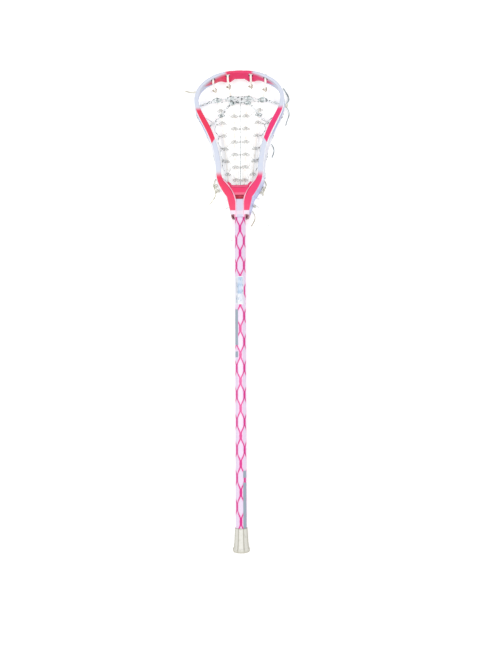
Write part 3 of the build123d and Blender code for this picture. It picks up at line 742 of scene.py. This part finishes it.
# %% Film
def label_film():
    material, tree, shader, place_mm = start_material("polyester_film", roughness=0.25, ior=1.64)
    x, y, _ = add_node(tree, "SeparateXYZ", [place_mm], out=None)
    wall = add_node(tree, "CombineXYZ", [y, x])
    bricks = {
        "Vector": wall, "Color1": (1, 1, 1, 1), "Color2": (0, 0, 0, 1), "Mortar": (0, 0, 0, 1),
        "Scale": 1.0, "Mortar Size": 0.4, "Mortar Smooth": 0.2, "Bias": 0.1,
        "Brick Width": 5.5, "Row Height": 2.1,
    }
    rows = add_node(tree, "TexBrick", bricks)
    low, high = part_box("shaft_label")
    margins = [
        (y, low.y / mm + 1.5, low.y / mm + 3.0), (y, high.y / mm - 1.5, high.y / mm - 3.0),
        (x, low.x / mm + 2.0, low.x / mm + 3.0), (x, high.x / mm - 0.8, high.x / mm - 1.6),
    ]
    cover = within(tree, rows, margins)
    fade = add_node(tree, "TexNoise", {"Vector": place_mm, "Scale": 1 / 14.0})
    printed = add_node(tree, "MapRange", {"Value": fade, "From Min": 0.35, "From Max": 0.6})
    cover = add_node(tree, "Math", [cover, printed], operation="MULTIPLY")
    blocks = [
        (-5.0, 4.6, low.y / mm + 22.0, high.y / mm - 2.0, "#8FB2D4"),
        (-9.5, -5.6, low.y / mm + 24.0, high.y / mm - 4.0, "#AEB9C8"),
        (-9.5, -5.6, low.y / mm + 3.0, low.y / mm + 19.0, "#B4BEC6"),
    ]
    tone = add_node(tree, "Mix", {0: fade, 6: "#D3D6DE", 7: "#DFE2E8"}, out=2, data_type="RGBA")
    for left, right, bottom, top, colour in blocks:
        outline = [
            (x, left - 0.4, left + 0.4), (x, right + 0.4, right - 0.4),
            (y, bottom - 1.0, bottom + 1.0), (y, top + 1.0, top - 1.0),
        ]
        share = within(tree, fade, outline)
        tone = add_node(tree, "Mix", {0: share, 6: tone, 7: colour}, out=2, data_type="RGBA")
    tone = add_node(tree, "Mix", {0: cover, 6: tone, 7: "#4A78A4"}, out=2, data_type="RGBA")
    feed(tree, shader, {"Base Color": tone})
    return material


finish_node("shaft_label", label_film())

# %% [markdown]
# ## The butt cap
# The cap is moulded in natural rubber, off-white and matt, with a fine dust of scuffs. It is the
# one piece that comes off, so it rides on its own body.


# %% Rubber
def natural_rubber():
    material, tree, shader, place_mm = start_material("natural_rubber", roughness=0.7, ior=1.52)
    scuffs = {"Vector": place_mm, "Scale": 1 / 5.0, "Detail": 5.0, "Roughness": 0.7}
    scuff = add_node(tree, "TexNoise", scuffs)
    dirt = {"Value": scuff, "From Min": 0.5, "From Max": 0.75}
    dirt = add_node(tree, "MapRange", dirt, interpolation_type="SMOOTHSTEP")
    tone = add_node(tree, "Mix", {0: dirt, 6: "#D2D1CA", 7: "#B3B1A6"}, out=2, data_type="RGBA")

    # Painted shade darkens the side facets, the eight corners, the rim's edge and the mouth
    x, y, z = add_node(tree, "SeparateXYZ", [place_mm], out=None)
    rim_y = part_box("end_cap")[0].y / mm
    facet = facets_round(tree, x, z, "end_cap")
    folded = add_node(tree, "Math", [facet, 0.5], operation="PINGPONG")
    around = add_node(tree, "Math", [facet], operation="ABSOLUTE")
    painted_shade_marks = [
        (around, 0.6, 1.6, "#BDBBAF"),
        (folded, 0.33, 0.46, "#928E80"),
        (y, rim_y + 9.0, rim_y + 3.0, "#BAB7AA"),
        (y, rim_y + 47.4, rim_y + 48.6, "#8F8B7E"),
    ]
    for value, start, stop, colour in painted_shade_marks:
        span = {"Value": value, "From Min": start, "From Max": stop, "To Max": 0.8}
        cover = add_node(tree, "MapRange", span)
        tone = add_node(tree, "Mix", {0: cover, 6: tone, 7: colour}, out=2, data_type="RGBA")
    grain = add_node(tree, "TexNoise", {"Vector": place_mm, "Scale": 1 / 0.6, "Detail": 2.0})
    bump = add_node(tree, "Bump", {"Height": grain, "Strength": 0.2, "Distance": 0.1 * mm})
    feed(tree, shader, {"Base Color": tone, "Normal": bump})
    return material


moulded("butt_cap", "end_cap", 0.5 * mm, 1, natural_rubber(), "butt")

# %% [markdown]
# ## The head screw
# One pan-head screw holds the head on the shaft. Its recess is a hexagon, and it is turned like
# any lathe work: a list of radii and depths, with the recess's rings pulled out to six corners.
# Zinc plate is bright and a little uneven, so a noise 0.7 mm wide shifts its tone and its gloss.


# %% Screw
def bright_steel():
    material, tree, shader, place_mm = start_material("zinc_plated_steel", 0.3, 1.5, metallic=1.0)
    plating = add_node(tree, "TexNoise", {"Vector": place_mm, "Scale": 1 / 0.7, "Detail": 2.0})
    tone = add_node(tree, "Mix", {0: plating, 6: "#B9BDC2", 7: "#DFE2E6"}, out=2, data_type="RGBA")
    gloss = add_node(tree, "MapRange", {"Value": plating, "To Min": 0.22, "To Max": 0.4})
    feed(tree, shader, {"Base Color": tone, "Roughness": gloss})
    return material


screw_low, screw_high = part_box("head_screw")
screw_y, screw_z = (screw_low.y + screw_high.y) / 2, (screw_low.z + screw_high.z) / 2
head_radius = (screw_high.y - screw_low.y) / 2
# Radius and depth under the top of the head in mm, and whether the ring is part of the recess
turned_profile = [
    (0.55, 9.5, False), (1.7, 9.0, False), (1.7, 2.2, False), (3.4, 2.2, False),
    (3.4, 1.0, False), (3.2, 0.5, False), (2.6, 0.12, False), (1.9, 0.0, False),
    (1.35, 0.0, True), (1.3, 0.2, True), (1.3, 1.3, True), (0.4, 1.5, True),
]
corners = 48
screw_points, screw_faces = [], []
for radius, depth, recess in turned_profile:
    for corner in range(corners):
        angle = tau * corner / corners
        six = 1 / cos((angle + pi / 6) % (pi / 3) - pi / 6) if recess else 1.0
        reach = min(radius * mm * six, head_radius)
        around = (screw_y + reach * cos(angle), screw_z + reach * sin(angle))
        screw_points.append((screw_high.x - depth * mm, *around))
for ring in range(len(turned_profile) - 1):
    for corner in range(corners):
        after = (corner + 1) % corners
        low, high = ring * corners, (ring + 1) * corners
        screw_faces.append((low + corner, low + after, high + after, high + corner))
screw_faces.append(tuple(reversed(range(corners))))
screw_faces.append(tuple(range((len(turned_profile) - 1) * corners, len(screw_points))))
screw_skins = [(screw_points, screw_faces, 0)]
piece("pan_head_screw", screw_skins, [bright_steel()], ["head_screw"])

# %% [markdown]
# ## The thongs
# Four strips of white hide run from the scoop to the throat and carry the whole pocket. Each is
# knotted outside the scoop, comes through its hole, drops over the face and is tied to the
# pocket with a small brown-grey knot. Hide has no sheen, and its grain is a leathery crumple
# about 1 mm across.


# %% Hide
def white_hide():
    material, tree, shader, place_mm = start_material("white_hide", roughness=0.75, ior=1.5)
    grain = add_node(tree, "TexVoronoi", {"Vector": place_mm, "Scale": 1 / 1.1}, feature="SMOOTH_F1")
    stain = add_node(tree, "TexNoise", {"Vector": place_mm, "Scale": 1 / 12.0, "Detail": 3.0})
    stain = add_node(tree, "MapRange", {"Value": stain, "From Min": 0.5, "From Max": 0.8})
    tone = add_node(tree, "Mix", {0: stain, 6: "#F6F4EE", 7: "#D8D0C2"}, out=2, data_type="RGBA")
    bump = add_node(tree, "Bump", {"Height": grain, "Strength": 0.3, "Distance": 0.15 * mm})
    feed(tree, shader, {"Base Color": tone, "Normal": bump})
    return material


hide = white_hide()
tie_nylon = nylon_braid("brown_tied_nylon", "#B9AC92", "#6C6250", 0.6, 2.4)

# %% [markdown]
# The lower part of each thong is read off the frame, every 25 mm. Only the top is given:
# out through the hole, over the face, and down.

# %% Thongs
thong_width, thong_thickness = 4.2 * mm, 2.2 * mm
thong_names = ["thong_inner_left", "thong_inner_right", "thong_outer_left", "thong_outer_right"]
thong_lines = {}
for name in thong_names:
    low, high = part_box(name)
    hole = crossing(name, 1, high.y - 1.0 * mm)
    bottom = low.y / mm + 1.0
    stations = np.linspace(hole[1] / mm - 25.0, bottom, 10)
    foot = crossing(name, 1, hole[1] - 16.0 * mm)
    top = [
        hole + shift(0, 4.5, 0),
        hole + shift(0, 0, 0.3),
        hole + shift(0, -5.8, 0.2),
        hole + shift(0, -8.6, -4.5),
        foot + shift(0, 1.5, 3.0),
    ]
    thong_lines[name] = centreline([*top, *follow(name, 1, stations)])
    skins = [strip(thong_lines[name], thong_width, thong_thickness)]
    outside = hole + shift(0, 6.0, 0)
    skins.append(braid(knot_line(outside, 6.0 * mm, 0.3), 2.0 * mm))
    tie = crossing(name, 1, hole[1] - 17.0 * mm)
    skins.append(braid(knot_line(tie + shift(0, 0, 0.8), 9.5 * mm, 0.5), 2.1 * mm, 1))
    piece(f"{name}_strip", skins, [hide, tie_nylon], [name])
    print(f"{name}: {line_length(thong_lines[name]) / mm:.0f} mm")


# %% [markdown]
# ## Crosslace
# The lace zigzags between two thongs. At every row it hitches round the thong: one strand goes
# over, one under, and two turns lock them, which from the front is a small grey leaf lying
# across the strip. The rows are 28 mm apart, and the outer thongs' rows lie between the inner.


# %% A hitch round a thong
def hitch(centre, reach, spread, lace):
    """The skins of one leaf: a strand over, a strand under, and two locking turns."""
    share = np.linspace(-1.0, 1.0, 13)
    crown = np.cos(share * pi / 2)
    over = [share * reach, spread * crown, (1.0 * mm + 1.4 * lace) * crown**2]
    under = [share * reach, -spread * crown, -(0.2 * mm + 0.6 * lace) * crown**2]
    skins = [braid(np.array(centre) + np.column_stack(strand), lace, 1) for strand in (over, under)]
    core = np.array(centre) + np.column_stack([0 * share, share * 1.5 * lace, 0 * share])
    turns = wound(core, thong_width / 2 + 0.2 * lace, 1.25 * lace)
    turns[:, 2] = centre[2] + (turns[:, 2] - centre[2]) * 0.72
    skins.append(braid(turns, 0.9 * lace, 1))
    return skins


def thong_at(name, y):
    """A point on a dressed thong's centreline, leaving out its high end at the scoop."""
    line = thong_lines[name]
    nearest = np.argmin(np.abs(line[:, 1] - y * mm) + (line[:, 2] > 25 * mm))
    return line[nearest]


# %% Crosslaces
lace = 1.6 * mm
row_pitch = 28.0
inner_rows = [tip_y - 87.0 - row_pitch * row for row in range(6)]
outer_rows = [y + 12.0 for y in inner_rows]
leaf_reach = 8.2 * mm
leaf_spread = 2.7 * mm
for side, word in ((-1, "left"), (1, "right")):
    skins, route = [], []
    for outer_y, inner_y in zip(outer_rows, inner_rows):
        outer = thong_at(f"thong_outer_{word}", outer_y)
        inner = thong_at(f"thong_inner_{word}", inner_y)
        skins += hitch(outer, 0.85 * leaf_reach, leaf_spread, lace)
        route += [
            outer + shift(side * 2.0, 0, -1.7),
            outer + np.array([-side * leaf_reach, 0, 0]),
            inner + np.array([side * leaf_reach, 0, 0]),
            inner + shift(side * 2.0, 0, -1.7),
            inner + np.array([side * leaf_reach, -1.0 * mm, 0]),
        ]
    skins.append(braid(centreline(route[:-1]), lace))
    piece(f"side_lace_{word}", skins, [lace_nylon, knot_nylon], [f"crosslace_{word}"])

skins, route = [], []
for row, y in enumerate(inner_rows):
    side = -1 if row % 2 else 1
    near = thong_at("thong_inner_left" if side < 0 else "thong_inner_right", y)
    far = thong_at("thong_inner_right" if side < 0 else "thong_inner_left", y)
    for middle in (near, far):
        skins += hitch(middle, leaf_reach, leaf_spread, lace)
    dip = shift(0, 0, -1.8)
    route += [near + dip, (near + far) / 2 + shift(0, 0, -0.6), far + dip]
skins.append(braid(centreline(route), lace))
piece("middle_lace", skins, [lace_nylon, knot_nylon], ["crosslace_centre"])

# %% [markdown]
# ## Centre string
# A single cord runs down the middle and ties each row of the centre lace to the next. Its turns
# round the lace are darker: painted shade in the turns, with grime.

# %% Centre string
centre_low, centre_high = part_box("centre_string")
centre_rows = np.linspace(centre_high.y / mm - 0.5, centre_low.y / mm + 0.5, 9)
centre_path = centreline(follow("centre_string", 1, centre_rows))
skins = [braid(centre_path, 1.8 * mm)]
for y in inner_rows:
    middle = crossing("centre_string", 1, y * mm)
    core = middle + np.column_stack([np.zeros(9), np.linspace(-2.2, 2.2, 9) * mm, np.zeros(9)])
    skins.append(braid(wound(core, 1.35 * mm, 1.5 * mm), 1.1 * mm, 1))
piece("middle_string", skins, [centre_nylon, knot_nylon], ["centre_string"])

# %% [markdown]
# ## Sidewall strings
# A flecked cord laces each outer thong to the holes along the back rail. It goes through a hole,
# runs along the outside of the rail and comes back through the next, so there is a stitch to see
# from the side as well. A ray finds the wall's outside for each stitch. Where the free ends come
# out they are tied off in overhand knots: places in mm, size and turn are given for each.

# %% Sidewall strings
end_knots = {
    "left": [((-53.5, 262, 4.8), 9.5, 0.4), ((-49.0, 251.5, 4.0), 8.0, 1.2)],
    "right": [
        ((47.8, 255, 4.8), 9.5, 2.0), ((44.0, 246, 3.6), 7.0, 0.7),
        ((29.5, 217, 3.6), 6.5, 0.8), ((99.0, 433, 11.8), 9.0, 0.3),
    ],
}
wall_rows = [tip_y - 92.0 - 26.0 * row for row in range(5)]
thread = 1.8 * mm
first_hole, hole_pitch, hole_level = lip_y + 22.0, 21.0, 4.5
# The back rail is flat up to here, and then its holes climb towards the scoop, mm in mm
climb_start, climb = tip_y - 170.0, 20.0 / 148.0
# A stitch, from hole to hole: the share of the way, and how far it stands off the wall in mm
stitch_shares, stand_off = np.array([0.0, 0.2, 0.5, 0.8, 1.0]), [-1.5, 0.7, 1.0, 0.7, -1.5]
for side, word in ((-1, "left"), (1, "right")):
    node = f"sidewall_string_{word}"
    low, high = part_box(node)
    stations = [high.y / mm - 0.7]
    for y in wall_rows[1:]:
        stations += [y + 13.0, y]
    stations.append(low.y / mm + 0.7)
    route = follow(node, 1, stations)
    skins = [braid(centreline(route), thread)]
    for y in stations[1:-1:2]:
        loop = crossing(node, 1, y * mm)
        across = np.linspace(-2.4, 2.4, 9) * -side * mm
        core = loop + np.column_stack([across, np.zeros(9), np.zeros(9)])
        skins.append(braid(wound(core, 1.3 * mm, 1.7 * mm), 1.2 * mm, 1))
    for index in range(0, 8, 2):
        first, last = [(first_hole + hole_pitch * (index + step)) * mm for step in (0, 1)]
        spots = stitch_shares * (last - first) + first
        levels = (hole_level + np.maximum(0.0, spots / mm - climb_start) * climb) * mm
        stitch = []
        for spot, level, off in zip(spots, levels, stand_off):
            stitch.append((outer_wall(side, spot, level) + side * off * mm, spot, level))
        skins.append(braid(centreline(stitch), thread))
    for centre, size, tilt in end_knots[word]:
        skins.append(braid(knot_line(np.array(centre) * mm, size * mm, tilt), 1.2 * mm, 2))
    finishes = [shooter_nylon, knot_nylon, earth_nylon]
    piece(f"side_string_{word}", skins, finishes, [node])

# %% [markdown]
# ## Shooting strings
# Two heavier cords cross the top of the pocket, one straight and one in a U. Each is a pair of
# cords twisted round each other, and hitched to every thong it passes. A third, thinner cord
# bows away from the straight pair on each side, and four short pairs are rolled in with it in
# the middle, between the inner thongs.


# %% A twisted pair
def twisted_pair(line, cord, pitch):
    """Two cords laid round each other."""
    return [braid(wound(line, 0.75 * cord, pitch, phase), cord) for phase in (0.0, pi)]


shooter = 2.3 * mm
low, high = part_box("shooting_string_straight")
stations = np.linspace(low.x / mm + 1.0, high.x / mm - 1.0, 11)
straight_line = centreline(follow("shooting_string_straight", 0, stations))
skins = twisted_pair(straight_line, shooter, 24.0 * mm)
for name in thong_names:
    x = crossing(name, 1, (tip_y - 52.0) * mm)[0]
    over_thong = crossing("shooting_string_straight", 0, x)
    skins += hitch(over_thong, 10.5 * mm, 3.6 * mm, 1.9 * mm)
loose = straight_line.copy()
loose[:, 1] -= 5.5 * mm * np.sin(np.linspace(0, tau, len(loose))) ** 2
loose[:, 2] -= 1.0 * mm
skins.append(braid(loose, 1.7 * mm))
bow = np.linspace(-1.0, 1.0, 9)
for ahead, reach in ((4.5, 17.0), (0.5, 24.0), (-4.0, 27.0), (-8.0, 24.0)):
    rolled = [(share * reach, tip_y - 51.0 + ahead - 1.5 * share**2, 15.5) for share in bow]
    skins += twisted_pair(centreline(np.array(rolled) * mm), 1.6 * mm, 9.0 * mm)
shooter_finishes = [shooter_nylon, shooter_knot]
piece("shooter_straight", skins, shooter_finishes, ["shooting_string_straight"])

# %% U-shaped shooting string
low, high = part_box("shooting_string_u")
stations = np.linspace(low.x / mm + 1.2, high.x / mm - 1.2, 17)
u_line = centreline(follow("shooting_string_u", 0, stations))
skins = twisted_pair(u_line, shooter, 24.0 * mm)
for name in thong_names:
    for y in np.arange(tip_y - 60.0, tip_y - 100.0, -1.0):
        x = crossing(name, 1, y * mm)[0]
        if abs(crossing("shooting_string_u", 0, x)[1] - y * mm) < 1.0 * mm:
            skins += hitch(crossing("shooting_string_u", 0, x), 8.0 * mm, 2.4 * mm, 1.8 * mm)
            break
piece("shooter_u", skins, shooter_finishes, ["shooting_string_u"])

# %% Throat string
low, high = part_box("throat_string")
stations = np.linspace(low.x / mm + 1.0, high.x / mm - 1.0, 9)
throat_line = centreline(follow("throat_string", 0, stations))
skins = [braid(throat_line, 1.8 * mm)]
for name in thong_names:
    x = crossing(name, 1, (lip_y + 12.0) * mm)[0]
    skins += hitch(crossing("throat_string", 0, x), 5.5 * mm, 1.8 * mm, 1.5 * mm)
piece("throat_lacing", skins, [lace_nylon, knot_nylon], ["throat_string"])

# %% [markdown]
# ## Light and floor
# A pale floor and soft bright light, as in a light tent: a white world, and two long panels
# above and to either side. A panel straight above would light the pocket as well, but the glossy
# plastic would mirror it towards the camera and wash out its dye; only a small one hangs there,
# for the glare half way down the shaft. The floor is opal acrylic on a light table, which keeps
# the pocket's shadows pale. It isn't part of the stick, so it rides on no body.


# %% Floor
def light_table():
    material, tree, shader, place_mm = start_material("opal_light_table", roughness=0.9, ior=1.49)
    cast = add_node(tree, "TexNoise", {"Vector": place_mm, "Scale": 1 / 60.0, "Detail": 2.0})
    tone = add_node(tree, "Mix", {0: cast, 6: "#F4F4F4", 7: "#F8F8F8"}, out=2, data_type="RGBA")
    glow = {"Emission Color": "#FFFFFF", "Emission Strength": 0.22}
    feed(tree, shader, {"Base Color": tone, **glow})
    return material


floor_half = 6.0
floor_mesh = bpy.data.meshes.new("floor")
floor_corners = [(x * floor_half, y * floor_half, 0) for x, y in ((-1, -1), (1, -1), (1, 1), (-1, 1))]
floor_mesh.from_pydata(floor_corners, [], [(0, 1, 2, 3)])
floor_mesh.materials.append(light_table())
into_scene("floor", floor_mesh)

# %% Lights
world = bpy.data.worlds.new("light_tent")
world.use_nodes = True
sky = world.node_tree.nodes["Background"]
feed(world.node_tree, sky, {"Color": "#FFFFFF", "Strength": 0.5})
bpy.context.scene.world = world

panels = {
    "left_panel": ((-1.05, -0.4, 2.1), (0.7, 2.2), 26.0),
    "right_panel": ((1.05, -0.4, 2.1), (0.7, 2.2), 26.0),
    "glare_panel": ((-0.13, -0.08, 2.1), (0.35, 0.6), 4.0),
}
for name, (place, size, watts) in panels.items():
    panel_data = bpy.data.lights.new(name, "AREA")
    panel_data.shape = "RECTANGLE"
    panel_data.size, panel_data.size_y = size
    panel_data.energy = watts
    panel = into_scene(name, panel_data)
    panel.location = place
    panel.rotation_euler = (0.0, atan2(place[0], place[2]), 0.0)
bpy.context.scene.view_settings.view_transform = "Standard"
print("lights:", ", ".join(panels), "in a", world.name)
